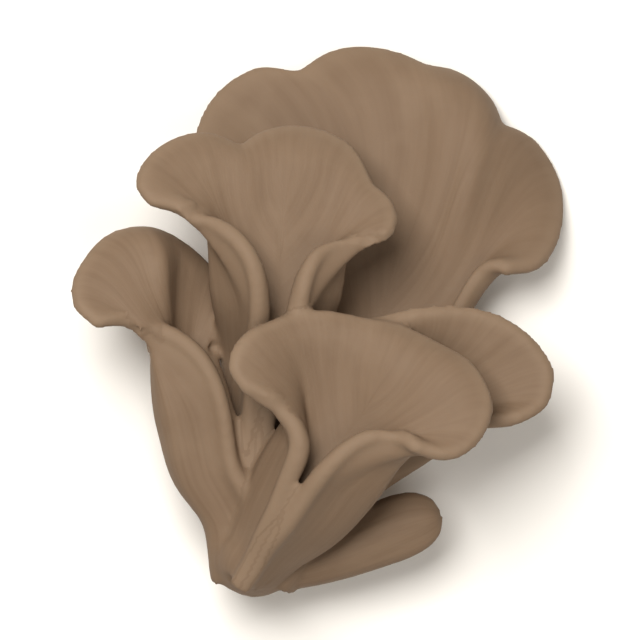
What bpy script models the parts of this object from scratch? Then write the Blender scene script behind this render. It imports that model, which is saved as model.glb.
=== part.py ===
"""A maitake mushroom cluster lying on its back: a fused foot and six fronds, grown as one piece.

Lengths are in metres. +X runs to the right across the cluster, +Y from the foot to the tip of the largest
fan, and +Z up from the surface that the cluster lies on. A frond is a leaf of flesh of even thickness. At
the foot it is rolled round its own stem, with a slit up the front, and further up it opens and bends
outwards to a lobed margin. It is a loft between unlike sections, so its rows are placed by a rule.
"""
import math

import bmesh
import bpy
import numpy as np
from mathutils import Matrix

MM = 0.001

# Driving dimensions
RIM_THICKNESS = 1.7        # mm, the flesh at a cap's margin
LIP_CROWN = 0.45           # how far an edge is rounded out, in thicknesses
COLUMNS = 48               # faces across a frond, from its left lip to its right lip
STEM_ROWS = 12
CAP_ROWS = 14
STEM_SHARE = 0.45          # the share of a frond's length that is stem
RIB_STATIONS = (0, 0.6, 0.92, 1)   # where rise and flare are given: mid-frond, flank, by the lip, lip
LIP_LIFT = 1.3             # mm, how far a split stem's lips stand out in front of its flanks
LIP_RADIUS = 1.15          # mm, the rounded bead along each lip
LIP_INSET = 0.22           # where the bead's middle is in the leaf, from its outer side to its inner one
LIP_TAPER = ((0, 0.75, 1), (1, 0.95, 0.3))   # the bead's size along it, which fades out at the margin
ROLLED = {"upper_left": (0, -1), "left": (0,), "front": (0, -1)}   # the rolled lips, by column
EVENING = 6                # rounds of averaging over a leaf's normals before its thickness is set off
FLAT_DEPTH = 0.5           # mm taken off the lowest spots, where the cluster's weight flattens them
MERGE = 0.00001
SKIN_STEP = 0.45           # mm, the grid that the fused skin is remade on
SOFTENING = 6              # rounds of smoothing over the fused skin
FACES = 9000               # triangles in the finished part
CUTTER = 0.2               # m, the block that cuts the resting flats

# The fused foot, an egg shape: centre and half sizes in mm
FOOT_CENTRE = (-7.8, 5.0, 8.4)
FOOT_RADII = (5.4, 5.0, 8.8)

# Each frond in mm. A stem row is x, y, z, half width, half depth, half wrap and turn of the slit in
# degrees, thickness. A lobe is a few points along the margin, from the left lip to the right one, and
# neighbouring lobes share the notch between them. Throat is where the stem's solid core starts and ends,
# as shares of the frond's length. Rise is how far a rib runs on along the stem before it bends out, and
# flare is how far it runs outwards before the margin, as shares of its length, at RIB_STATIONS.
FRONDS = {
    "back_fan": {
        "stem": [(-7.5, 2.5, 6.0, 4.5, 5.0, 165, 0, 2.4), (-4, 11, 6.5, 4.5, 4.5, 155, 0, 2.4),
                 (1, 21, 7.0, 6.0, 4.8, 140, 0, 2.3), (6, 31, 8.0, 9.0, 5.5, 118, 0, 2.1)],
        "lobes": [[(-12.5, 46.5, 10), (-15.4, 51, 6), (-15, 56.5, 2), (-12, 61.2, -0.6), (-7.2, 64, -0.8),
                   (-2.4, 63.4, 0.8)],
                  [(-2.4, 63.4, 0.8), (1, 65.4, -0.4), (5, 65.8, -0.8), (9, 64.9, -0.4), (12, 63.3, 1)],
                  [(12, 63.3, 1), (16, 62.4, 0), (19.6, 59.6, 0), (21.5, 56, 1.2)],
                  [(21.5, 56, 1.2), (25.5, 54.2, -0.4), (28.6, 49.8, -0.8), (29.3, 45.3, 1.5),
                   (28.2, 41.2, 5), (26.2, 38.9, 8), (23, 38.3, 10.5)]],
        "throat": (0.02, 0.7), "brim": 1, "lift": 0, "pinch": 0, "rise": (0.35, 0.3, 0.3, 0.35),
        "flare": (0.42, 0.35, 0.35, 0.35)},
    "upper_left": {
        "stem": [(-8.5, 2.5, 7.5, 4.2, 4.5, 165, 0, 2.3), (-8.3, 10, 8.5, 4.0, 4.2, 165, 0, 2.3),
                 (-7.4, 20, 9.5, 5.2, 4.2, 160, 0, 2.2), (-6, 28.5, 11.5, 6.2, 4.8, 150, 0, 2.1),
                 (-5.2, 35.5, 15.5, 8.2, 5.0, 152, 4, 2.0)],
        "lobes": [[(-20.7, 46.9, 20.9), (-22, 48.8, 20.2), (-21.5, 50.8, 18.7), (-19.2, 53.3, 16.5),
                   (-15.2, 54.8, 14.5), (-9.8, 53.2, 13.8)],
                  [(-9.8, 53.2, 13.8), (-7, 54.9, 12.3), (-2.2, 55.7, 11.5), (3.2, 53.8, 12),
                   (6.5, 48.7, 14.5)],
                  [(6.5, 48.7, 14.5), (8.6, 46.8, 15.5), (9.2, 43.9, 17.5), (7.6, 41.9, 19), (5.4, 42.3, 19.8)]],
        "throat": (0.1, 0.85), "brim": 1, "lift": LIP_LIFT, "pinch": 0.35, "rise": (0.4, 0.25, 0.25, 0.58),
        "flare": (0.42, 0.25, 0.25, 0.5)},
    "left": {
        "stem": [(-9.2, 2.5, 10.0, 3.6, 4.5, 160, 30, 2.2), (-10.9, 10, 11.5, 3.2, 3.8, 155, 55, 2.1),
                 (-14.2, 16, 13.0, 3.8, 4.0, 150, 66, 1.9), (-15.2, 21.5, 14.0, 4.6, 4.4, 144, 70, 1.8)],
        "lobes": [[(-27.2, 32.2, 20.2), (-29.4, 34.4, 19), (-29.6, 37, 17.6), (-28, 39.9, 15.6), (-25.4, 42.1, 13.4),
                   (-21.2, 43, 11.5), (-16.2, 41.2, 8.5), (-12.3, 37.5, 7.5), (-11, 32, 8)]],
        "throat": (0.1, 0.8), "brim": 1, "lift": LIP_LIFT, "pinch": 0.35, "rise": (0.4, 0.25, 0.25, 0.5),
        "flare": (0.42, 0.25, 0.25, 0.45)},
    "front": {
        "stem": [(-8.6, 3, 12.0, 3.8, 4.8, 168, 0, 2.3), (-6.2, 6.8, 13.5, 5.2, 5.0, 168, 0, 2.3),
                 (-2.8, 11.2, 16.0, 6.9, 5.6, 164, -6, 2.2), (0.9, 16.5, 19.5, 7.8, 5.2, 157, -16, 2.0)],
        "lobes": [[(-9.8, 25.3, 25.8), (-11.1, 27.4, 25.4), (-10.6, 29.8, 24.6), (-9, 31.7, 23.4),
                   (-6.8, 32.7, 22)],
                  [(-6.8, 32.7, 22), (-4, 33.8, 20.5), (-0.5, 34.1, 19.8), (4.5, 33.1, 19)],
                  [(4.5, 33.1, 19), (9.5, 31.9, 18.8), (14, 29.6, 19.6)],
                  [(14, 29.6, 19.6), (18.3, 26.6, 22), (20.2, 22.6, 23.5), (18.6, 18.4, 25),
                   (14.8, 16.3, 26.5), (11.2, 17.3, 27.5)]],
        "throat": (0.1, 0.85), "brim": 1, "lift": LIP_LIFT, "pinch": 0.35, "rise": (0.4, 0.25, 0.25, 0.55),
        "flare": (0.42, 0.25, 0.25, 0.5)},
    "right": {
        "stem": [(-6.5, 2.5, 8.5, 4.0, 4.0, 165, 0, 2.3), (-2, 9, 9.5, 3.8, 3.8, 155, 0, 2.2),
                 (4, 15.5, 11.5, 4.4, 3.8, 135, 0, 2.1), (10.5, 22, 14, 6.2, 3.2, 105, 0, 2.0)],
        "lobes": [[(0.5, 32.9, 18.6), (6, 34, 18.4), (12, 35.3, 17.8), (19, 35.1, 16.6), (25, 32, 16),
                   (28.2, 27, 16), (27.2, 22.6, 16.8), (24, 20.6, 18), (19.3, 20, 19)]],
        "throat": (0.1, 0.8), "brim": 0.4, "lift": 0, "pinch": 0, "rise": (0.35, 0.3, 0.3, 0.3),
        "flare": (0.35, 0.3, 0.3, 0.3)},
}

# The low tongue never opened: it is solid flesh. Its rows in mm are x, y, z, half width and half height.
TONGUE = [(-6.5, 2.8, 7.5, 2.4, 3.2), (-2, 3.7, 8.0, 2.9, 3.0), (2.5, 5.3, 8.6, 3.3, 2.9),
          (6.5, 7.0, 9.2, 3.6, 2.7), (10, 8.5, 9.6, 3.8, 2.4), (12.2, 9.2, 9.7, 3.4, 2.1),
          (13.7, 9.6, 9.7, 2.5, 1.6), (14.5, 9.8, 9.7, 1.4, 0.9), (14.8, 9.9, 9.7, 0.3, 0.2)]


def clear_scene():
    for item in list(bpy.data.objects):
        bpy.data.objects.remove(item, do_unlink=True)


def unit(vectors):
    return vectors / (np.linalg.norm(vectors, axis=-1, keepdims=True) + 1e-12)


def smooth_step(value):
    value = np.clip(value, 0, 1)
    return value * value * (3 - 2 * value)


def curve_through(points, count):
    """Walk a smooth curve through the points and return count + 1 evenly spaced places on it."""
    points = np.array(points, float)
    knots = np.concatenate([[0], np.cumsum(np.linalg.norm(np.diff(points[:, :3], axis=0), axis=1))])
    slopes = np.gradient(points, knots, axis=0, edge_order=1)
    walk = []
    for start in range(len(points) - 1):
        gap = knots[start + 1] - knots[start]
        for t in np.linspace(0, 1, 24, endpoint=start == len(points) - 2):
            walk.append((2 * t**3 - 3 * t**2 + 1) * points[start] + (t**3 - 2 * t**2 + t) * gap * slopes[start]
                        + (3 * t**2 - 2 * t**3) * points[start + 1] + (t**3 - t**2) * gap * slopes[start + 1])
    walk = np.array(walk)
    run = np.concatenate([[0], np.cumsum(np.linalg.norm(np.diff(walk[:, :3], axis=0), axis=1))])
    stops = np.linspace(0, run[-1], count + 1)
    return np.array([np.interp(stops, run, column) for column in walk.T]).T


def margin_points(lobes, columns):
    """Share the columns out over the lobes by length, so that a column always ends in each notch."""
    lengths = [np.linalg.norm(np.diff(curve_through(lobe, 30), axis=0), axis=1).sum() for lobe in lobes]
    counts = [max(2, round(columns * length / sum(lengths))) for length in lengths]
    counts[int(np.argmax(counts))] += columns - sum(counts)
    pieces = [curve_through(lobe, count)[:-1] for lobe, count in zip(lobes, counts)]
    return np.concatenate(pieces + [np.array([lobes[-1][-1]], float)])


def outer_surface(frond, columns):
    """Place the frond's outer side: rolled stem rows, then ribs that leave the stem and bend outwards."""
    rows = curve_through(frond["stem"], STEM_ROWS)
    centres, along = rows[:, :3], unit(np.gradient(rows[:, :3], axis=0))
    margin = margin_points(frond["lobes"], columns)
    run = np.concatenate([[0], np.cumsum(np.linalg.norm(np.diff(margin, axis=0), axis=1))])
    across_share = 2 * run / run[-1] - 1
    surface = []
    for centre, way, (half_width, half_depth, wrap, turn) in zip(centres, along, rows[:, 3:7]):
        slit = np.array([math.sin(math.radians(turn)), 0, math.cos(math.radians(turn))])
        slit = unit(slit - way * np.dot(slit, way))
        side = np.cross(way, slit)
        angle = np.radians(wrap) * across_share[:, None]
        lift = frond["lift"] * smooth_step((abs(across_share) - 0.8) / 0.2)[:, None]
        neck = half_width * (1 - frond["pinch"] * smooth_step((abs(across_share) - 0.5) / 0.35)[:, None])
        surface.append(centre + np.sin(angle) * neck * side - (np.cos(angle) * half_depth - lift) * slit)
    top, leaving = surface[-1], unit(surface[-1] - surface[-2])
    reach = margin - centres[-1]
    outward = unit(reach - frond["brim"] * along[-1] * (reach @ along[-1])[:, None])
    margin = margin - outward * LIP_CROWN * RIM_THICKNESS
    length = np.linalg.norm(margin - top, axis=1)
    leave = top + leaving * (length * np.interp(abs(across_share), RIB_STATIONS, frond["rise"]))[:, None]
    arrive = margin - outward * (length * np.interp(abs(across_share), RIB_STATIONS, frond["flare"]))[:, None]
    for t in np.linspace(0, 1, CAP_ROWS + 1)[1:]:
        surface.append((1 - t)**3 * top + 3 * (1 - t)**2 * t * leave + 3 * (1 - t) * t**2 * arrive + t**3 * margin)
    thickness = np.concatenate([rows[:, 7], np.linspace(rows[-1, 7], RIM_THICKNESS, CAP_ROWS + 1)[1:]])
    return np.array(surface), thickness


def inner_surface(outer, thickness, throat):
    """Set a leaf's inner side a thickness in from its outer one. Return it as it is, and drawn to the slit
    where the stem is solid."""
    share = np.concatenate([np.linspace(0, STEM_SHARE, STEM_ROWS + 1),
                            np.linspace(STEM_SHARE, 1, CAP_ROWS + 1)[1:]])
    inwards = unit(np.cross(np.gradient(outer, axis=0), np.gradient(outer, axis=1)))
    for _ in range(EVENING):
        inwards[1:-1] = unit(inwards[:-2] + 2 * inwards[1:-1] + inwards[2:])
        inwards[:, 1:-1] = unit(inwards[:, :-2] + 2 * inwards[:, 1:-1] + inwards[:, 2:])
    slit = (outer[:, 0] + outer[:, -1]) / 2
    middle = outer.shape[1] // 2
    if np.dot(inwards[STEM_ROWS // 2, middle], slit[STEM_ROWS // 2] - outer[STEM_ROWS // 2, middle]) < 0:
        inwards = -inwards
    leaf = outer + inwards * thickness[:, None, None]
    openness = smooth_step((share - throat[0]) / (throat[1] - throat[0]))[:, None, None]
    return leaf, slit[:, None, :] + openness * (leaf - slit[:, None, :])


def frond_rings(frond):
    """Close each row into a ring: outer side, right lip, inner side, left lip, and the start again."""
    outer, thickness = outer_surface(frond, COLUMNS)
    inner = inner_surface(outer, thickness, frond["throat"])[1]
    rounding = LIP_CROWN * thickness[:, None]
    right = (outer[:, -1] + inner[:, -1]) / 2 + unit(outer[:, -1] - outer[:, -2]) * rounding
    left = (outer[:, 0] + inner[:, 0]) / 2 + unit(outer[:, 0] - outer[:, 1]) * rounding
    rings = np.concatenate([outer, right[:, None], inner[:, ::-1], left[:, None], outer[:, :1]], axis=1)
    outward = unit(outer[-1] - outer[-2]) * rounding[-1]
    edge = (outer[-1] + inner[-1]) / 2 + outward
    last = np.concatenate([edge, [right[-1] + outward[-1]], edge[::-1], [left[-1] + outward[0]], edge[:1]])
    return np.concatenate([rings, last[None]])


def tongue_rings():
    """Oval rows of solid flesh, that narrow to a rounded tip."""
    rows = curve_through(TONGUE, CAP_ROWS)
    along = unit(np.gradient(rows[:, :3], axis=0))
    side = unit(np.cross(along, (0, 0, 1)))
    lift = np.cross(side, along)
    angle = np.linspace(-math.pi, math.pi, COLUMNS + 1)[None, :, None]
    return (rows[:, None, :3] + np.sin(angle) * rows[:, None, 3:4] * side[:, None]
            + np.cos(angle) * rows[:, None, 4:5] * lift[:, None])


def make_leaf(name, rings):
    """Bend a flat grid into the rings, then join its seam and close its open ends."""
    mesh = bpy.data.meshes.new(name)
    bm = bmesh.new()
    bmesh.ops.create_grid(bm, x_segments=rings.shape[1] - 1, y_segments=rings.shape[0] - 1, size=1)
    for vert, place in zip(bm.verts, rings.reshape(-1, 3) * MM):
        vert.co = place
    bmesh.ops.remove_doubles(bm, verts=bm.verts, dist=MERGE)
    bmesh.ops.holes_fill(bm, edges=[edge for edge in bm.edges if edge.is_boundary], sides=0)
    bmesh.ops.recalc_face_normals(bm, faces=bm.faces)
    bm.to_mesh(mesh)
    bm.free()
    item = bpy.data.objects.new(name, mesh)
    bpy.context.scene.collection.objects.link(item)
    return item


def make_lip_bead(frond, column):
    """Run a round bead of flesh up one lip, from the stem to the margin."""
    outer, thickness = outer_surface(frond, COLUMNS)
    leaf = inner_surface(outer, thickness, frond["throat"])[0]
    lip = (outer[:, column] * (1 - LIP_INSET) + leaf[:, column] * LIP_INSET) * MM
    curve = bpy.data.curves.new("lip", "CURVE")
    curve.dimensions = "3D"
    curve.bevel_depth = LIP_RADIUS * MM
    curve.bevel_resolution = 3
    curve.use_fill_caps = True
    spline = curve.splines.new("POLY")
    spline.points.add(len(lip) - 1)
    for point, place, share in zip(spline.points, lip, np.linspace(0, 1, len(lip))):
        point.co = (*place, 1)
        point.radius = np.interp(share, *LIP_TAPER)
    item = bpy.data.objects.new("lip", curve)
    bpy.context.scene.collection.objects.link(item)
    bpy.context.view_layer.update()
    mesh = bpy.data.meshes.new_from_object(item.evaluated_get(bpy.context.evaluated_depsgraph_get()))
    bpy.data.objects.remove(item, do_unlink=True)
    bm = bmesh.new()
    bm.from_mesh(mesh)
    bmesh.ops.remove_doubles(bm, verts=bm.verts, dist=MERGE)
    bmesh.ops.recalc_face_normals(bm, faces=bm.faces)
    bm.to_mesh(mesh)
    bm.free()
    bead = bpy.data.objects.new("lip", mesh)
    bpy.context.scene.collection.objects.link(bead)
    return bead


def make_foot():
    bpy.ops.mesh.primitive_uv_sphere_add(segments=32, ring_count=20, radius=1)
    item = bpy.context.object
    item.location = [value * MM for value in FOOT_CENTRE]
    item.scale = [value * MM for value in FOOT_RADII]
    return item


def flesh_material():
    material = bpy.data.materials.new("mushroom flesh")
    material.use_nodes = True
    shader = material.node_tree.nodes["Principled BSDF"]
    shader.inputs["Base Color"].default_value = (0.274, 0.184, 0.118, 1)
    shader.inputs["Roughness"].default_value = 0.75
    shader.inputs["Metallic"].default_value = 0.0
    return material


def move_to(item, collection):
    for owner in list(item.users_collection):
        owner.objects.unlink(item)
    collection.objects.link(item)


def fuse(items, name):
    """Join the pieces into one mesh, then remake its skin so that they grow out of each other."""
    bpy.ops.object.select_all(action="DESELECT")
    for item in items:
        item.select_set(True)
    cluster = items[0]
    bpy.context.view_layer.objects.active = cluster
    bpy.ops.object.join()
    bpy.ops.object.transform_apply(location=True, rotation=True, scale=True)
    cluster.name = cluster.data.name = name
    skin = cluster.modifiers.new("one skin", "REMESH")
    skin.mode = "VOXEL"
    skin.voxel_size = SKIN_STEP * MM
    soften = cluster.modifiers.new("soft junctions", "SMOOTH")
    soften.factor = 0.5
    soften.iterations = SOFTENING
    return cluster


def evaluated_mesh(item):
    bpy.context.view_layer.update()
    graph = bpy.context.evaluated_depsgraph_get()
    return bpy.data.meshes.new_from_object(item.evaluated_get(graph))


def thin_out(cluster):
    """Bring the skin down to the number of faces that the part is to have."""
    full = sum(len(face.vertices) - 2 for face in evaluated_mesh(cluster).polygons)
    thin = cluster.modifiers.new("fewer faces", "DECIMATE")
    thin.ratio = FACES / full


def flatten_lowest_spots(cluster, cutters):
    """Take a sliver off below the level that the cluster rests at."""
    level = min(vert.co.z for vert in evaluated_mesh(cluster).vertices) + FLAT_DEPTH * MM
    bpy.ops.mesh.primitive_cube_add(size=CUTTER, location=(0, 0, level - CUTTER / 2))
    floor = bpy.context.object
    floor.name = "resting_plane"
    floor.display_type = "WIRE"
    floor.hide_render = True
    move_to(floor, cutters)
    cut = cluster.modifiers.new("flat spots", "BOOLEAN")
    cut.operation = "DIFFERENCE"
    cut.solver = "EXACT"
    cut.object = floor


def settle(cluster):
    """Turn the modifiers into plain mesh and put the origin under the middle of its box."""
    mesh = evaluated_mesh(cluster)
    cluster.modifiers.clear()
    cluster.data = mesh
    places = np.array([vert.co[:] for vert in mesh.vertices])
    low, high = places.min(axis=0), places.max(axis=0)
    mesh.transform(Matrix.Translation((-(low[0] + high[0]) / 2, -(low[1] + high[1]) / 2, -low[2])))
    mesh.shade_smooth()


def build():
    clear_scene()
    parts = bpy.data.collections.new("maitake_mushroom")
    cutters = bpy.data.collections.new("cutters")
    for collection in (parts, cutters):
        bpy.context.scene.collection.children.link(collection)
    pieces = [make_foot(), make_leaf("low_tongue", tongue_rings())]
    pieces += [make_leaf(name, frond_rings(frond)) for name, frond in FRONDS.items()]
    pieces += [make_lip_bead(FRONDS[name], column) for name, columns in ROLLED.items() for column in columns]
    cluster = fuse(pieces, "mushroom_cluster")
    move_to(cluster, parts)
    thin_out(cluster)
    flatten_lowest_spots(cluster, cutters)
    settle(cluster)
    cluster.data.materials.clear()
    cluster.data.materials.append(flesh_material())


build()
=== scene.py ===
"""A maitake mushroom cluster lying on its back on a pale surface, seen from straight above.

The real thing is one fruiting body: a fused foot whose stems split up the front and open into thin lobed
caps that overlap like petals. Its flesh is firm, dry and matte, and its fibres run from the foot to the rims.
"""

import math

import bmesh
import bpy
import numpy as np
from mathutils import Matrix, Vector


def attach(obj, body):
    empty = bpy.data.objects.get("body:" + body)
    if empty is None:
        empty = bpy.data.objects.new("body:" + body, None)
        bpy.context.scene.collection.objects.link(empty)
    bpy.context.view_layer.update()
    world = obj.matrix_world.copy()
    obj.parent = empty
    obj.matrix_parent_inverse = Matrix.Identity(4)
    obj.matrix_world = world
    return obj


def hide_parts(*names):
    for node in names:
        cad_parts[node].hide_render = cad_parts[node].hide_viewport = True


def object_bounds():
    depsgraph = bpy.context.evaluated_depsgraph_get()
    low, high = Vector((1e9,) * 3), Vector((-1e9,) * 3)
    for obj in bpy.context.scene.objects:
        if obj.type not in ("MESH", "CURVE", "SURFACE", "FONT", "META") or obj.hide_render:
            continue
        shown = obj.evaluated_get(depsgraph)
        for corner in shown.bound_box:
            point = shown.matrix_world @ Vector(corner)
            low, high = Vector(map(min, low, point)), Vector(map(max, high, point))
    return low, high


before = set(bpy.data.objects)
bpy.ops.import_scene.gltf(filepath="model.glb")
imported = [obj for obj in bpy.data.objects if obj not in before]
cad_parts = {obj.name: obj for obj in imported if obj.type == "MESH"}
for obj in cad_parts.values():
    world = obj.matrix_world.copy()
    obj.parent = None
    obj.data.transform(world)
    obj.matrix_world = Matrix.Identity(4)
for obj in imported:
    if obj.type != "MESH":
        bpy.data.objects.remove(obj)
frame_low, frame_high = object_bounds()

MM = 0.001

# ---------------------------------------------------------------------------------------------------------
# The fronds. Each one is a leaf of flesh of even thickness. At the foot it is rolled round its own stem,
# with a slit up the front, and further up it opens, bends outwards and ends in a lobed margin.
# ---------------------------------------------------------------------------------------------------------

RIM_THICKNESS = 1.7            # mm, the flesh at a cap's margin
LIP_CROWN = 0.45               # how far an edge is rounded out, in thicknesses
COLUMNS = 96                   # faces across a frond, from its left lip to its right lip
STEM_ROWS = 24
CAP_ROWS = 36
STEM_SHARE = 0.45              # the share of a frond's length that is stem
RIB_STATIONS = (0, 0.6, 0.92, 1)   # where rise and flare are given: mid-frond, flank, by the lip, lip
LIP_LIFT = 1.3                 # mm, how far a split stem's lips stand out in front of its flanks
LIFT_FROM, LIFT_OVER = 0.8, 0.2        # where across a stem the lift starts, and the share it comes in over
PINCH_FROM, PINCH_OVER = 0.5, 0.35     # the same for the pinch
EVENING = 6                    # rounds of averaging over a leaf's normals before its thickness is set off
CURVE_STEPS = 24               # straight steps between two given points of a smooth curve
MERGE = 0.00001                # m, points nearer than this become one
LIP_RADIUS = 1.15              # mm, the rounded bead along each lip
LIP_INSET = 0.22               # where the bead's middle is in the leaf, from its outer side to its inner one
LIP_TAPER = ((0, 0.75, 1), (1, 0.95, 0.3))   # the bead's size along it, which fades out at the margin
ROLLED = {"upper_left": (0, -1), "left": (0,), "front": (0, -1)}   # the lips that are rolled, by column
FOOT_CENTRE = (-7.8, 5.0, 8.4)
FOOT_RADII = (5.4, 5.0, 8.8)

# Each frond in mm. A stem row is x, y, z, half width, half depth, half wrap and turn of the slit in
# degrees, thickness. A lobe is a few points along the margin, from the left lip to the right one, and
# neighbouring lobes share the notch between them. Throat is where the stem's solid core starts and ends,
# as shares of the frond's length. Brim is 1 where the margin turns straight out from the stem and 0 where
# it runs on along it. Lift is how far the lips stand forward, and pinch the share of the stem's width that
# is drawn in beside them. Rise is how far a rib runs on along the stem before it bends out, and flare is
# how far it runs outwards before the margin, as shares of its length, at RIB_STATIONS.
FRONDS = {
    "back_fan": {
        "stem": [(-7.5, 2.5, 6.0, 4.5, 5.0, 165, 0, 2.4), (-4, 11, 6.5, 4.5, 4.5, 155, 0, 2.4),
                 (1, 21, 7.0, 6.0, 4.8, 140, 0, 2.3), (6, 31, 8.0, 9.0, 5.5, 118, 0, 2.1)],
        "lobes": [[(-12.5, 46.5, 10), (-15.4, 51, 6), (-15, 56.5, 2), (-12, 61.2, -0.6), (-7.2, 64, -0.8),
                   (-2.4, 63.4, 0.8)],
                  [(-2.4, 63.4, 0.8), (1, 65.4, -0.4), (5, 65.8, -0.8), (9, 64.9, -0.4), (12, 63.3, 1)],
                  [(12, 63.3, 1), (16, 62.4, 0), (19.6, 59.6, 0), (21.5, 56, 1.2)],
                  [(21.5, 56, 1.2), (25.5, 54.2, -0.4), (28.6, 49.8, -0.8), (29.3, 45.3, 1.5),
                   (28.2, 41.2, 5), (26.2, 38.9, 8), (23, 38.3, 10.5)]],
        "throat": (0.02, 0.7), "brim": 1, "lift": 0, "pinch": 0, "rise": (0.35, 0.3, 0.3, 0.35),
        "flare": (0.42, 0.35, 0.35, 0.35)},
    "upper_left": {
        "stem": [(-8.5, 2.5, 7.5, 4.2, 4.5, 165, 0, 2.3), (-8.3, 10, 8.5, 4.0, 4.2, 165, 0, 2.3),
                 (-7.4, 20, 9.5, 5.2, 4.2, 160, 0, 2.2), (-6, 28.5, 11.5, 6.2, 4.8, 150, 0, 2.1),
                 (-5.2, 35.5, 15.5, 8.2, 5.0, 152, 4, 2.0)],
        "lobes": [[(-20.7, 46.9, 20.9), (-22, 48.8, 20.2), (-21.5, 50.8, 18.7), (-19.2, 53.3, 16.5),
                   (-15.2, 54.8, 14.5), (-9.8, 53.2, 13.8)],
                  [(-9.8, 53.2, 13.8), (-7, 54.9, 12.3), (-2.2, 55.7, 11.5), (3.2, 53.8, 12),
                   (6.5, 48.7, 14.5)],
                  [(6.5, 48.7, 14.5), (8.6, 46.8, 15.5), (9.2, 43.9, 17.5), (7.6, 41.9, 19),
                   (5.4, 42.3, 19.8)]],
        "throat": (0.1, 0.85), "brim": 1, "lift": LIP_LIFT, "pinch": 0.35, "rise": (0.4, 0.25, 0.25, 0.58),
        "flare": (0.42, 0.25, 0.25, 0.5)},
    "left": {
        "stem": [(-9.2, 2.5, 10.0, 3.6, 4.5, 160, 30, 2.2), (-10.9, 10, 11.5, 3.2, 3.8, 155, 55, 2.1),
                 (-14.2, 16, 13.0, 3.8, 4.0, 150, 66, 1.9), (-15.2, 21.5, 14.0, 4.6, 4.4, 144, 70, 1.8)],
        "lobes": [[(-27.2, 32.2, 20.2), (-29.4, 34.4, 19), (-29.6, 37, 17.6), (-28, 39.9, 15.6),
                   (-25.4, 42.1, 13.4), (-21.2, 43, 11.5), (-16.2, 41.2, 8.5), (-12.3, 37.5, 7.5),
                   (-11, 32, 8)]],
        "throat": (0.1, 0.8), "brim": 1, "lift": LIP_LIFT, "pinch": 0.35, "rise": (0.4, 0.25, 0.25, 0.5),
        "flare": (0.42, 0.25, 0.25, 0.45)},
    "front": {
        "stem": [(-8.6, 3, 12.0, 3.8, 4.8, 168, 0, 2.3), (-6.2, 6.8, 13.5, 5.2, 5.0, 168, 0, 2.3),
                 (-2.8, 11.2, 16.0, 6.9, 5.6, 164, -6, 2.2), (0.9, 16.5, 19.5, 7.8, 5.2, 157, -16, 2.0)],
        "lobes": [[(-9.8, 25.3, 25.8), (-11.1, 27.4, 25.4), (-10.6, 29.8, 24.6), (-9, 31.7, 23.4),
                   (-6.8, 32.7, 22)],
                  [(-6.8, 32.7, 22), (-4, 33.8, 20.5), (-0.5, 34.1, 19.8), (4.5, 33.1, 19)],
                  [(4.5, 33.1, 19), (9.5, 31.9, 18.8), (14, 29.6, 19.6)],
                  [(14, 29.6, 19.6), (18.3, 26.6, 22), (20.2, 22.6, 23.5), (18.6, 18.4, 25),
                   (14.8, 16.3, 26.5), (11.2, 17.3, 27.5)]],
        "throat": (0.1, 0.85), "brim": 1, "lift": LIP_LIFT, "pinch": 0.35, "rise": (0.4, 0.25, 0.25, 0.55),
        "flare": (0.42, 0.25, 0.25, 0.5)},
    "right": {
        "stem": [(-6.5, 2.5, 8.5, 4.0, 4.0, 165, 0, 2.3), (-2, 9, 9.5, 3.8, 3.8, 155, 0, 2.2),
                 (4, 15.5, 11.5, 4.4, 3.8, 135, 0, 2.1), (10.5, 22, 14, 6.2, 3.2, 105, 0, 2.0)],
        "lobes": [[(0.5, 32.9, 18.6), (6, 34, 18.4), (12, 35.3, 17.8), (19, 35.1, 16.6), (25, 32, 16),
                   (28.2, 27, 16), (27.2, 22.6, 16.8), (24, 20.6, 18), (19.3, 20, 19)]],
        "throat": (0.1, 0.8), "brim": 0.4, "lift": 0, "pinch": 0, "rise": (0.35, 0.3, 0.3, 0.3),
        "flare": (0.35, 0.3, 0.3, 0.3)},
}

# The low tongue never opened: it is solid flesh. Its rows in mm are x, y, z, half width and half height.
TONGUE = [(-6.5, 2.8, 7.5, 2.4, 3.2), (-2, 3.7, 8.0, 2.9, 3.0), (2.5, 5.3, 8.6, 3.3, 2.9),
          (6.5, 7.0, 9.2, 3.6, 2.7), (10, 8.5, 9.6, 3.8, 2.4), (12.2, 9.2, 9.7, 3.4, 2.1),
          (13.7, 9.6, 9.7, 2.5, 1.6), (14.5, 9.8, 9.7, 1.4, 0.9), (14.8, 9.9, 9.7, 0.3, 0.2)]


def unit(vectors):
    return vectors / (np.linalg.norm(vectors, axis=-1, keepdims=True) + 1e-12)


def smooth_step(value):
    value = np.clip(value, 0, 1)
    return value * value * (3 - 2 * value)


def curve_through(points, count):
    """Walk a smooth curve through the points and return count + 1 evenly spaced places on it."""
    points = np.array(points, float)
    knots = np.concatenate([[0], np.cumsum(np.linalg.norm(np.diff(points[:, :3], axis=0), axis=1))])
    slopes = np.gradient(points, knots, axis=0, edge_order=1)
    walk = []
    for start in range(len(points) - 1):
        gap = knots[start + 1] - knots[start]
        for t in np.linspace(0, 1, CURVE_STEPS, endpoint=start == len(points) - 2):
            walk.append((2 * t**3 - 3 * t**2 + 1) * points[start]
                        + (t**3 - 2 * t**2 + t) * gap * slopes[start]
                        + (3 * t**2 - 2 * t**3) * points[start + 1]
                        + (t**3 - t**2) * gap * slopes[start + 1])
    walk = np.array(walk)
    run = np.concatenate([[0], np.cumsum(np.linalg.norm(np.diff(walk[:, :3], axis=0), axis=1))])
    stops = np.linspace(0, run[-1], count + 1)
    return np.array([np.interp(stops, run, column) for column in walk.T]).T


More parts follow.
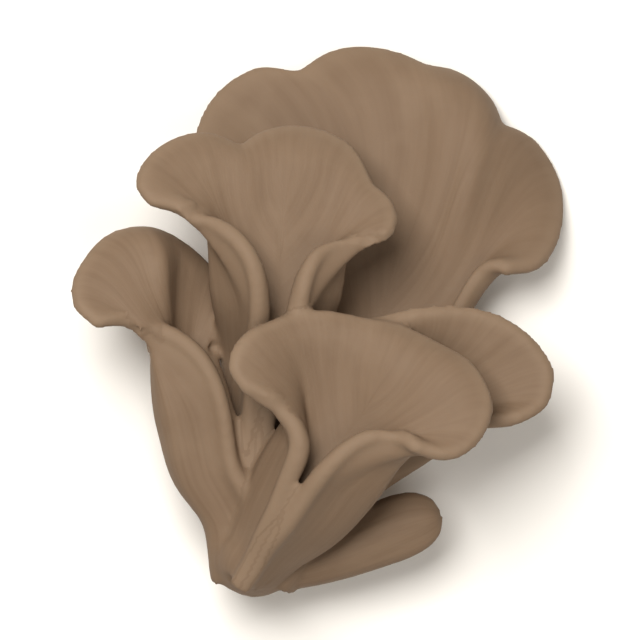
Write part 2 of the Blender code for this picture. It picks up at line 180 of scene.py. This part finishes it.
def margin_points(lobes, columns):
    """Share the columns out over the lobes by length, so that a column always ends in each notch."""
    lengths = [np.linalg.norm(np.diff(curve_through(lobe, 30), axis=0), axis=1).sum() for lobe in lobes]
    counts = [max(2, round(columns * length / sum(lengths))) for length in lengths]
    counts[int(np.argmax(counts))] += columns - sum(counts)
    pieces = [curve_through(lobe, count)[:-1] for lobe, count in zip(lobes, counts)]
    return np.concatenate(pieces + [np.array([lobes[-1][-1]], float)])


def outer_surface(frond):
    """Place the frond's outer side: rolled stem rows, then ribs that leave the stem and bend outwards."""
    rows = curve_through(frond["stem"], STEM_ROWS)
    centres, along = rows[:, :3], unit(np.gradient(rows[:, :3], axis=0))
    margin = margin_points(frond["lobes"], COLUMNS)
    run = np.concatenate([[0], np.cumsum(np.linalg.norm(np.diff(margin, axis=0), axis=1))])
    across = 2 * run / run[-1] - 1
    surface = []
    for centre, way, (half_width, half_depth, wrap, turn) in zip(centres, along, rows[:, 3:7]):
        slit = np.array([math.sin(math.radians(turn)), 0, math.cos(math.radians(turn))])
        slit = unit(slit - way * np.dot(slit, way))
        side = np.cross(way, slit)
        angle = np.radians(wrap) * across[:, None]
        lift = frond["lift"] * smooth_step((abs(across) - LIFT_FROM) / LIFT_OVER)[:, None]
        neck = 1 - frond["pinch"] * smooth_step((abs(across) - PINCH_FROM) / PINCH_OVER)[:, None]
        surface.append(centre + np.sin(angle) * half_width * neck * side
                       - (np.cos(angle) * half_depth - lift) * slit)
    top, leaving = surface[-1], unit(surface[-1] - surface[-2])
    reach = margin - centres[-1]
    outward = unit(reach - frond["brim"] * along[-1] * (reach @ along[-1])[:, None])
    margin = margin - outward * LIP_CROWN * RIM_THICKNESS
    length = np.linalg.norm(margin - top, axis=1)
    leave = top + leaving * (length * np.interp(abs(across), RIB_STATIONS, frond["rise"]))[:, None]
    arrive = margin - outward * (length * np.interp(abs(across), RIB_STATIONS, frond["flare"]))[:, None]
    for t in np.linspace(0, 1, CAP_ROWS + 1)[1:]:
        surface.append((1 - t)**3 * top + 3 * (1 - t)**2 * t * leave
                       + 3 * (1 - t) * t**2 * arrive + t**3 * margin)
    thickness = np.concatenate([rows[:, 7], np.linspace(rows[-1, 7], RIM_THICKNESS, CAP_ROWS + 1)[1:]])
    return np.array(surface), thickness, across


def row_shares():
    """How far up the frond each row is, from 0 at the foot to 1 at the margin."""
    return np.concatenate([np.linspace(0, STEM_SHARE, STEM_ROWS + 1),
                           np.linspace(STEM_SHARE, 1, CAP_ROWS + 1)[1:]])


def openness(share, throat):
    """How far the frond has opened, from 0 where its stem is solid to 1 where it is a thin leaf."""
    return smooth_step((share - throat[0]) / (throat[1] - throat[0]))


def inner_surface(outer, thickness, throat):
    """Set a leaf's inner side a thickness in from its outer one. Return it as it is, and drawn to the slit
    where the stem is solid."""
    inwards = unit(np.cross(np.gradient(outer, axis=0), np.gradient(outer, axis=1)))
    for _ in range(EVENING):
        inwards[1:-1] = unit(inwards[:-2] + 2 * inwards[1:-1] + inwards[2:])
        inwards[:, 1:-1] = unit(inwards[:, :-2] + 2 * inwards[:, 1:-1] + inwards[:, 2:])
    slit = (outer[:, 0] + outer[:, -1]) / 2
    middle = outer.shape[1] // 2
    if np.dot(inwards[STEM_ROWS // 2, middle], slit[STEM_ROWS // 2] - outer[STEM_ROWS // 2, middle]) < 0:
        inwards = -inwards
    leaf = outer + inwards * thickness[:, None, None]
    opened = openness(row_shares(), throat)[:, None, None]
    return leaf, slit[:, None, :] + opened * (leaf - slit[:, None, :])


def frond_rings(frond):
    """Close each row into a ring, and give each point its place in the growth: across, along and side."""
    outer, thickness, across = outer_surface(frond)
    inner = inner_surface(outer, thickness, frond["throat"])[1]
    rounding = LIP_CROWN * thickness[:, None]
    right = (outer[:, -1] + inner[:, -1]) / 2 + unit(outer[:, -1] - outer[:, -2]) * rounding
    left = (outer[:, 0] + inner[:, 0]) / 2 + unit(outer[:, 0] - outer[:, 1]) * rounding
    rings = np.concatenate([outer, right[:, None], inner[:, ::-1], left[:, None], outer[:, :1]], axis=1)
    outward = unit(outer[-1] - outer[-2]) * rounding[-1]
    edge = (outer[-1] + inner[-1]) / 2 + outward
    last = np.concatenate([edge, [right[-1] + outward[-1]], edge[::-1], [left[-1] + outward[0]], edge[:1]])
    ring_across = np.concatenate([across, [1], across[::-1], [-1], across[:1]])
    on_inside = np.concatenate([across * 0, [0], across * 0 + 1, [0], [0]])
    on_outside = np.concatenate([across * 0 + 1, [0], across * 0, [0], [1]])
    shares = np.concatenate([row_shares(), [1]])
    opened = openness(shares, frond["throat"])[:, None]
    growth = np.stack([
        ring_across + on_inside * (1 - opened) * (np.where(ring_across < 0, -1, 1) - ring_across),
        shares[:, None] + 0 * ring_across, on_outside - on_inside * opened], axis=-1)
    return np.concatenate([rings, last[None]]), growth


def tongue_rings():
    """Oval rows of solid flesh, that narrow to a rounded tip."""
    rows = curve_through(TONGUE, CAP_ROWS)
    along = unit(np.gradient(rows[:, :3], axis=0))
    side = unit(np.cross(along, (0, 0, 1)))
    lift = np.cross(side, along)
    angle = np.linspace(-math.pi, math.pi, COLUMNS + 1)[None, :, None]
    rings = (rows[:, None, :3] + np.sin(angle) * rows[:, None, 3:4] * side[:, None]
             + np.cos(angle) * rows[:, None, 4:5] * lift[:, None])
    growth = np.array([[(turn / math.pi, share * 0.9, 1) for turn in angle.ravel()]
                       for share in np.linspace(0, 1, len(rows))])
    return rings, growth


def make_leaf(name, rings, growth, number):
    """Bend a flat grid into the rings, then join its seam and close its open ends."""
    mesh = bpy.data.meshes.new(name)
    bm = bmesh.new()
    layers = [bm.verts.layers.float.new(word) for word in ("across", "along", "side", "frond")]
    bmesh.ops.create_grid(bm, x_segments=rings.shape[1] - 1, y_segments=rings.shape[0] - 1, size=1)
    for vert, place, values in zip(bm.verts, rings.reshape(-1, 3) * MM, growth.reshape(-1, 3)):
        vert.co = place
        for layer, value in zip(layers, (*values, number)):
            vert[layer] = value
    bmesh.ops.remove_doubles(bm, verts=bm.verts, dist=MERGE)
    bmesh.ops.holes_fill(bm, edges=[edge for edge in bm.edges if edge.is_boundary], sides=0)
    bmesh.ops.recalc_face_normals(bm, faces=bm.faces)
    bm.to_mesh(mesh)
    bm.free()
    item = bpy.data.objects.new(name, mesh)
    bpy.context.scene.collection.objects.link(item)
    return item


def evaluated_mesh(item):
    bpy.context.view_layer.update()
    graph = bpy.context.evaluated_depsgraph_get()
    return bpy.data.meshes.new_from_object(item.evaluated_get(graph))


# ---------------------------------------------------------------------------------------------------------
# The rolled lips. Flesh curls over along both sides of a split stem, as a bead that fades into the margin.
# ---------------------------------------------------------------------------------------------------------


def make_lip_bead(frond, column):
    """Run a round bead of flesh up one lip, from the foot to the margin."""
    outer, thickness, _ = outer_surface(frond)
    leaf = inner_surface(outer, thickness, frond["throat"])[0]
    lip = (outer[:, column] * (1 - LIP_INSET) + leaf[:, column] * LIP_INSET) * MM
    curve = bpy.data.curves.new("lip", "CURVE")
    curve.dimensions = "3D"
    curve.bevel_depth = LIP_RADIUS * MM
    curve.bevel_resolution = 4
    curve.use_fill_caps = True
    spline = curve.splines.new("POLY")
    spline.points.add(len(lip) - 1)
    for point, place, share in zip(spline.points, lip, np.linspace(0, 1, len(lip))):
        point.co = (*place, 1)
        point.radius = np.interp(share, *LIP_TAPER)
    item = bpy.data.objects.new("lip", curve)
    bpy.context.scene.collection.objects.link(item)
    mesh = evaluated_mesh(item)
    bpy.data.objects.remove(item, do_unlink=True)
    bead = bpy.data.objects.new("lip", mesh)
    bpy.context.scene.collection.objects.link(bead)
    return bead


# ---------------------------------------------------------------------------------------------------------
# The whole body. The fronds grow out of the foot and out of each other, so one skin is drawn over them all.
# ---------------------------------------------------------------------------------------------------------

SKIN_STEP = 0.4                # mm, the grid that the skin is remade on
SOFTENING = 7                  # rounds of smoothing over the new skin


def make_foot():
    """The egg-shaped base that every stem grows from."""
    bpy.ops.mesh.primitive_uv_sphere_add(segments=48, ring_count=32, radius=1)
    item = bpy.context.object
    item.location = [value * MM for value in FOOT_CENTRE]
    item.scale = [value * MM for value in FOOT_RADII]
    return item


def join(items, name):
    bpy.ops.object.select_all(action="DESELECT")
    for item in items:
        item.select_set(True)
    bpy.context.view_layer.objects.active = items[0]
    bpy.ops.object.join()
    bpy.ops.object.transform_apply(location=True, rotation=True, scale=True)
    items[0].name = items[0].data.name = name
    return items[0]


def fit_to_frame(items, low, high):
    """Scale and move the pieces so that a body with these corners fills the frame's box."""
    factor = (frame_high.y - frame_low.y) / (high[1] - low[1])
    middle = ((low[0] + high[0]) / 2, (low[1] + high[1]) / 2, low[2])
    goal = ((frame_low.x + frame_high.x) / 2, (frame_low.y + frame_high.y) / 2, frame_low.z)
    for item in items:
        places = np.empty(len(item.data.vertices) * 3)
        item.data.vertices.foreach_get("co", places)
        places = (places.reshape(-1, 3) - middle) * factor + goal
        item.data.vertices.foreach_set("co", places.ravel())
        item.data.update()


def corners(item):
    places = np.array([vert.co[:] for vert in item.data.vertices])
    return places.min(axis=0), places.max(axis=0)


def fused_skin(leaves, others):
    """One closed skin over the fronds, the lips and the foot, with soft junctions."""
    copy = bpy.data.objects.new("skin", leaves.data.copy())
    bpy.context.scene.collection.objects.link(copy)
    skin = join([copy] + others, "mushroom_flesh")
    remade = skin.modifiers.new("one skin", "REMESH")
    remade.mode = "VOXEL"
    remade.voxel_size = SKIN_STEP * MM
    soften = skin.modifiers.new("soft junctions", "SMOOTH")
    soften.factor = 0.5
    soften.iterations = SOFTENING
    mesh = evaluated_mesh(skin)
    skin.modifiers.clear()
    skin.data = mesh
    return skin


grown = [make_leaf(name, *frond_rings(frond), number) for number, (name, frond) in enumerate(FRONDS.items())]
grown.append(make_leaf("low_tongue", *tongue_rings(), len(FRONDS)))
leaves = join(grown, "leaves")
beads = [make_lip_bead(FRONDS[name], column) for name, columns in ROLLED.items() for column in columns]
flesh = fused_skin(leaves, beads + [make_foot()])
fit_to_frame([leaves, flesh], *corners(flesh))

# ---------------------------------------------------------------------------------------------------------
# The surface relief. The flesh is bundles of fibres, so its skin is faintly ridged from the foot towards the
# rims and rises and falls in shallow folds. A Geometry Nodes tree reads where each point sits in the growth
# and raises the relief there, but leaves the rims, the lips and the closed slits smooth.
# ---------------------------------------------------------------------------------------------------------


def add_node(tree, kind, settings=None, links=None):
    """Add a node, set its attributes and input values, and link its inputs to other nodes' outputs."""
    node = tree.nodes.new(kind)
    for name, value in (settings or {}).items():
        if isinstance(name, str) and hasattr(node, name):
            setattr(node, name, value)
        else:
            node.inputs[name].default_value = value
    for name, source in (links or {}).items():
        tree.links.new(source, node.inputs[name])
    return node


def relief_tree():
    tree = bpy.data.node_groups.new("fibre relief", "GeometryNodeTree")
    face = tree.interface
    sockets = {"Geometry": "NodeSocketGeometry", "Leaves": "NodeSocketObject",
               "Fibres Across": "NodeSocketFloat", "Fibre Height": "NodeSocketFloat",
               "Folds Across": "NodeSocketFloat", "Fold Height": "NodeSocketFloat",
               "Lump Size": "NodeSocketFloat", "Lump Height": "NodeSocketFloat",
               "Flesh": "NodeSocketMaterial"}
    for name, kind in sockets.items():
        face.new_socket(name, in_out="INPUT", socket_type=kind)
    face.new_socket("Geometry", in_out="OUTPUT", socket_type="NodeSocketGeometry")
    start = tree.nodes.new("NodeGroupInput")
    grown = add_node(tree, "GeometryNodeObjectInfo", {"transform_space": "RELATIVE"},
                     {"Object": start.outputs["Leaves"]})
    geometry, values = start.outputs["Geometry"], {}
    for word in ("across", "along", "side", "frond"):
        source = add_node(tree, "GeometryNodeInputNamedAttribute", {"data_type": "FLOAT", "Name": word})
        sample = add_node(tree, "GeometryNodeSampleNearestSurface", {"data_type": "FLOAT"},
                          {"Mesh": grown.outputs["Geometry"], "Value": source.outputs["Attribute"]})
        store = add_node(tree, "GeometryNodeStoreNamedAttribute",
                         {"data_type": "FLOAT", "domain": "POINT", "Name": word},
                         {"Geometry": geometry, "Value": sample.outputs["Value"]})
        geometry = store.outputs["Geometry"]
        kept = add_node(tree, "GeometryNodeInputNamedAttribute", {"data_type": "FLOAT", "Name": word})
        values[word] = kept.outputs["Attribute"]

    def ridges(count, lengthwise, detail):
        """Noise drawn out along the growth: count is how many bands there are across one unit."""
        wide = add_node(tree, "ShaderNodeMath", {"operation": "MULTIPLY"}, {0: values["across"], 1: count})
        tall = add_node(tree, "ShaderNodeMath", {"operation": "MULTIPLY", 1: lengthwise},
                        {0: values["along"]})
        apart = add_node(tree, "ShaderNodeMath", {"operation": "MULTIPLY", 1: 17.0}, {0: values["frond"]})
        place = add_node(tree, "ShaderNodeCombineXYZ", None,
                         {"X": wide.outputs[0], "Y": tall.outputs[0], "Z": apart.outputs[0]})
        noise = add_node(tree, "ShaderNodeTexNoise", {"Scale": 1.0, "Detail": detail, "Roughness": 0.5},
                         {"Vector": place.outputs[0]})
        return add_node(tree, "ShaderNodeMath", {"operation": "SUBTRACT", 1: 0.5}, {0: noise.outputs["Fac"]})

    fibres = ridges(start.outputs["Fibres Across"], 2.0, 2.0)
    folds = ridges(start.outputs["Folds Across"], 1.2, 0.0)
    off_rim = add_node(tree, "ShaderNodeMapRange",
                       {"interpolation_type": "SMOOTHSTEP", "From Min": 0.86, "From Max": 0.97,
                        "To Min": 1.0, "To Max": 0.0}, {"Value": values["along"]})
    whole = add_node(tree, "ShaderNodeMath", {"operation": "ABSOLUTE"}, {0: values["across"]})
    off_lip = add_node(tree, "ShaderNodeMapRange",
                       {"interpolation_type": "SMOOTHSTEP", "From Min": 0.8, "From Max": 0.95,
                        "To Min": 1.0, "To Max": 0.0}, {"Value": whole.outputs[0]})
    clear = add_node(tree, "ShaderNodeMath", {"operation": "MULTIPLY"},
                     {0: off_rim.outputs["Result"], 1: off_lip.outputs["Result"]})
    leaf = add_node(tree, "ShaderNodeMath", {"operation": "ABSOLUTE"}, {0: values["side"]})
    clear = add_node(tree, "ShaderNodeMath", {"operation": "MULTIPLY"},
                     {0: clear.outputs[0], 1: leaf.outputs[0]})
    position = add_node(tree, "GeometryNodeInputPosition")
    lump_scale = add_node(tree, "ShaderNodeMath", {"operation": "DIVIDE", 0: 1.0},
                          {1: start.outputs["Lump Size"]})
    lumps = add_node(tree, "ShaderNodeTexNoise", {"Detail": 1.0},
                     {"Vector": position.outputs[0], "Scale": lump_scale.outputs[0]})
    lump = add_node(tree, "ShaderNodeMath", {"operation": "SUBTRACT", 1: 0.5}, {0: lumps.outputs["Fac"]})
    rise = add_node(tree, "ShaderNodeMath", {"operation": "MULTIPLY"},
                    {0: fibres.outputs[0], 1: start.outputs["Fibre Height"]})
    rise = add_node(tree, "ShaderNodeMath", {"operation": "MULTIPLY"},
                    {0: rise.outputs[0], 1: clear.outputs[0]})
    fold = add_node(tree, "ShaderNodeMath", {"operation": "MULTIPLY"},
                    {0: folds.outputs[0], 1: start.outputs["Fold Height"]})
    fold = add_node(tree, "ShaderNodeMath", {"operation": "MULTIPLY"},
                    {0: fold.outputs[0], 1: clear.outputs[0]})
    signed = add_node(tree, "ShaderNodeMath", {"operation": "MULTIPLY"},
                      {0: fold.outputs[0], 1: values["side"]})
    swell = add_node(tree, "ShaderNodeMath", {"operation": "MULTIPLY_ADD"},
                     {0: lump.outputs[0], 1: start.outputs["Lump Height"], 2: rise.outputs[0]})
    total = add_node(tree, "ShaderNodeMath", {"operation": "ADD"},
                     {0: swell.outputs[0], 1: signed.outputs[0]})
    normal = add_node(tree, "GeometryNodeInputNormal")
    offset = add_node(tree, "ShaderNodeVectorMath", {"operation": "SCALE"},
                      {"Vector": normal.outputs[0], "Scale": total.outputs[0]})
    moved = add_node(tree, "GeometryNodeSetPosition", None,
                     {"Geometry": geometry, "Offset": offset.outputs[0]})
    plain = add_node(tree, "GeometryNodeRealizeInstances", None, {"Geometry": moved.outputs[0]})
    dressed = add_node(tree, "GeometryNodeSetMaterial", None,
                       {"Geometry": plain.outputs[0], "Material": start.outputs["Flesh"]})
    finish = tree.nodes.new("NodeGroupOutput")
    tree.links.new(dressed.outputs[0], finish.inputs[0])
    return tree


def apply_tree(item, tree, inputs):
    """Set the tree's named inputs by socket identifier, then keep its result as a plain mesh."""
    step = item.modifiers.new(tree.name, "NODES")
    step.node_group = tree
    for socket in tree.interface.items_tree:
        if socket.in_out == "INPUT" and socket.name in inputs:
            step[socket.identifier] = inputs[socket.name]
    mesh = evaluated_mesh(item)
    item.modifiers.clear()
    item.data = mesh


# ---------------------------------------------------------------------------------------------------------
# The flesh's look: raw maitake, air-dry. Its fine threads scatter light a little, so it is soft and matte.
# It is taupe with pale mottling and darker in streaks along the fibres. It is paler at the rims and the lips,
# partly for its own paler edges and partly as painted highlight where the rolled edges catch the light.
# ---------------------------------------------------------------------------------------------------------


def linear(code):
    """Turn an sRGB hex colour into linear light."""
    parts = [int(code[start:start + 2], 16) / 255 for start in (1, 3, 5)]
    return tuple(p / 12.92 if p <= 0.04045 else ((p + 0.055) / 1.055) ** 2.4 for p in parts) + (1.0,)


FLESH_COLOUR = "#78624d"
STREAK_COLOUR = "#69533f"
# used for the flesh's own pale patches, and also for the painted highlight on the rims and lips
PALE_AND_HIGHLIGHT_COLOUR = "#87715b"


def flesh_material():
    material = bpy.data.materials.new("maitake flesh, air-dry")
    material.use_nodes = True
    tree = material.node_tree
    shader = tree.nodes["Principled BSDF"]
    shader.inputs["Roughness"].default_value = 0.72
    shader.inputs["IOR"].default_value = 1.4
    shader.inputs["Specular IOR Level"].default_value = 0.35
    shader.inputs["Subsurface Weight"].default_value = 0.12
    shader.inputs["Subsurface Radius"].default_value = (1.0, 0.6, 0.4)
    shader.inputs["Subsurface Scale"].default_value = 1.2 * MM
    values = {word: add_node(tree, "ShaderNodeAttribute", {"attribute_name": word}).outputs["Fac"]
              for word in ("across", "along", "side", "frond")}
    wide = add_node(tree, "ShaderNodeMath", {"operation": "MULTIPLY", 1: 16.0}, {0: values["across"]})
    tall = add_node(tree, "ShaderNodeMath", {"operation": "MULTIPLY", 1: 2.2}, {0: values["along"]})
    apart = add_node(tree, "ShaderNodeMath", {"operation": "MULTIPLY", 1: 13.0}, {0: values["frond"]})
    fibre_place = add_node(tree, "ShaderNodeCombineXYZ", None,
                           {"X": wide.outputs[0], "Y": tall.outputs[0], "Z": apart.outputs[0]})
    fibres = add_node(tree, "ShaderNodeTexNoise", {"Scale": 1.0, "Detail": 4.0, "Roughness": 0.6},
                      {"Vector": fibre_place.outputs[0]})
    place = add_node(tree, "ShaderNodeTexCoord")
    mottle = add_node(tree, "ShaderNodeTexNoise", {"Scale": 1 / (9 * MM), "Detail": 3.0, "Roughness": 0.55},
                      {"Vector": place.outputs["Object"]})
    grain = add_node(tree, "ShaderNodeTexNoise", {"Scale": 1 / (0.5 * MM), "Detail": 3.0, "Roughness": 0.6},
                     {"Vector": place.outputs["Object"]})
    streaks = add_node(tree, "ShaderNodeMapRange", {"From Min": 0.42, "From Max": 0.75, "To Max": 0.55},
                       {"Value": fibres.outputs["Fac"]})
    opened = add_node(tree, "ShaderNodeMath", {"operation": "ABSOLUTE"}, {0: values["side"]})
    whole = add_node(tree, "ShaderNodeMath", {"operation": "ABSOLUTE"}, {0: values["across"]})
    off_lip = add_node(tree, "ShaderNodeMapRange",
                       {"interpolation_type": "SMOOTHSTEP", "From Min": 0.8, "From Max": 0.94,
                        "To Min": 1.0, "To Max": 0.0}, {"Value": whole.outputs[0]})
    leaf = add_node(tree, "ShaderNodeMath", {"operation": "MULTIPLY"},
                    {0: opened.outputs[0], 1: off_lip.outputs["Result"]})
    streaks = add_node(tree, "ShaderNodeMath", {"operation": "MULTIPLY"},
                       {0: streaks.outputs["Result"], 1: leaf.outputs[0]})
    base = add_node(tree, "ShaderNodeMix", {"data_type": "RGBA", 6: linear(FLESH_COLOUR),
                                            7: linear(STREAK_COLOUR)}, {0: streaks.outputs[0]})
    patches = add_node(tree, "ShaderNodeMapRange", {"From Min": 0.5, "From Max": 0.8, "To Max": 0.4},
                       {"Value": mottle.outputs["Fac"]})
    mottled = add_node(tree, "ShaderNodeMix", {"data_type": "RGBA", 7: linear(PALE_AND_HIGHLIGHT_COLOUR)},
                       {0: patches.outputs["Result"], 6: base.outputs[2]})
    # rims and lips drawn paler: partly the flesh's own paler edges, partly painted highlight on the rolled
    # edges
    rim = add_node(tree, "ShaderNodeMapRange",
                   {"interpolation_type": "SMOOTHSTEP", "From Min": 0.94, "From Max": 1.0, "To Max": 0.5},
                   {"Value": values["along"]})
    lip = add_node(tree, "ShaderNodeMapRange",
                   {"interpolation_type": "SMOOTHSTEP", "From Min": 0.92, "From Max": 1.0, "To Max": 0.4},
                   {"Value": whole.outputs[0]})
    edge = add_node(tree, "ShaderNodeMath", {"operation": "MAXIMUM"},
                    {0: rim.outputs["Result"], 1: lip.outputs["Result"]})
    coloured = add_node(tree, "ShaderNodeMix", {"data_type": "RGBA", 7: linear(PALE_AND_HIGHLIGHT_COLOUR)},
                        {0: edge.outputs[0], 6: mottled.outputs[2]})
    tree.links.new(coloured.outputs[2], shader.inputs["Base Color"])
    ridged = add_node(tree, "ShaderNodeMath", {"operation": "MULTIPLY"},
                      {0: fibres.outputs["Fac"], 1: leaf.outputs[0]})
    fibre_bump = add_node(tree, "ShaderNodeBump", {"Strength": 0.24, "Distance": 0.2 * MM},
                          {"Height": ridged.outputs[0]})
    grain_bump = add_node(tree, "ShaderNodeBump", {"Strength": 0.2, "Distance": 0.08 * MM},
                          {"Height": grain.outputs["Fac"], "Normal": fibre_bump.outputs[0]})
    tree.links.new(grain_bump.outputs[0], shader.inputs["Normal"])
    return material


apply_tree(flesh, relief_tree(), {
    "Leaves": leaves, "Fibres Across": 9.0, "Fibre Height": 0.18 * MM, "Folds Across": 3.0,
    "Fold Height": 0.9 * MM, "Lump Size": 12 * MM, "Lump Height": 0.5 * MM, "Flesh": flesh_material()})
bpy.data.objects.remove(leaves, do_unlink=True)


def rest_on_surface(item):
    """Where the cluster lies on the surface, its flesh gives and is flat."""
    for vert in item.data.vertices:
        vert.co.z = max(vert.co.z, frame_low.z)
    item.data.shade_smooth()


rest_on_surface(flesh)
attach(flesh, "root")
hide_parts("mushroom_cluster")

# ---------------------------------------------------------------------------------------------------------
# The stage: a pale matte sheet, a soft light nearly overhead, a weaker one from the foot's side and an even
# sky.
# ---------------------------------------------------------------------------------------------------------


def make_floor():
    bpy.ops.mesh.primitive_plane_add(size=3)
    floor = bpy.context.object
    floor.name = "pale_sheet"
    material = bpy.data.materials.new("pale matte sheet")
    material.use_nodes = True
    shader = material.node_tree.nodes["Principled BSDF"]
    shader.inputs["Base Color"].default_value = linear("#f1ece4")
    shader.inputs["Roughness"].default_value = 0.9
    floor.data.materials.append(material)


def make_light(name, place, size, watts):
    data = bpy.data.lights.new(name, "AREA")
    data.size = size
    data.energy = watts
    light = bpy.data.objects.new(name, data)
    bpy.context.scene.collection.objects.link(light)
    light.location = place
    light.rotation_euler = (-Vector(place)).to_track_quat("-Z", "Y").to_euler()


def make_sky(colour, strength):
    world = bpy.data.worlds.new("even sky")
    bpy.context.scene.world = world
    world.use_nodes = True
    sky = world.node_tree.nodes["Background"]
    sky.inputs["Color"].default_value = linear(colour)
    sky.inputs["Strength"].default_value = strength


def make_camera(lens, share):
    """Look straight down from where the body's longer side takes this share of the frame."""
    data = bpy.data.cameras.new("camera")
    data.lens = lens
    camera = bpy.data.objects.new("camera", data)
    bpy.context.scene.collection.objects.link(camera)
    span = max(frame_high.x - frame_low.x, frame_high.y - frame_low.y) / share
    height = span * lens / data.sensor_width + frame_high.z / 2
    camera.location = ((frame_low.x + frame_high.x) / 2, (frame_low.y + frame_high.y) / 2, height)
    bpy.context.scene.camera = camera


make_floor()
make_light("key", (-0.10, 0.15, 0.48), 0.24, 3.05)
make_light("fill", (0.12, -0.18, 0.46), 0.28, 0.7)
make_sky("#fffaf2", 0.24)
make_camera(300, 0.87)
bpy.context.scene.view_settings.view_transform = "Standard"
